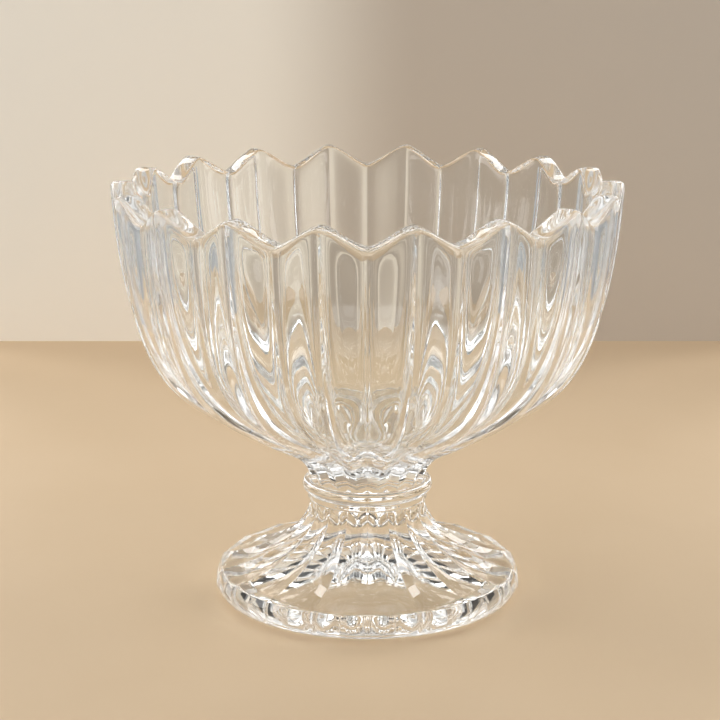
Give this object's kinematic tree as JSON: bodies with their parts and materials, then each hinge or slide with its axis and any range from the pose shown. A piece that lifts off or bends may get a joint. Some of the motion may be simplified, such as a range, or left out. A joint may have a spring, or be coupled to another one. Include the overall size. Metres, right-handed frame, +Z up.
{
  "type": "ice cream bowl",
  "caption": "Footed ice cream bowl of clear pressed glass with a pleated wall, a wavy rim, a round collar at the waist and a pleated hollow foot.",
  "frame": {"origin": "centre of the standing ring under the foot, on the surface that the bowl stands on", "axes": "+Z up along the bowl's axis; -Y is the side that faces the viewer in the picture, +X is to the viewer's right"},
  "size_m": [0.12, 0.1182, 0.1],
  "materials": {
    "clear_glass": "clear, fire-polished gloss"
  },
  "bodies": {
    "root": {"bowl": "clear_glass", "collar": "clear_glass", "foot": "clear_glass"}
  },
  "joints": []
}
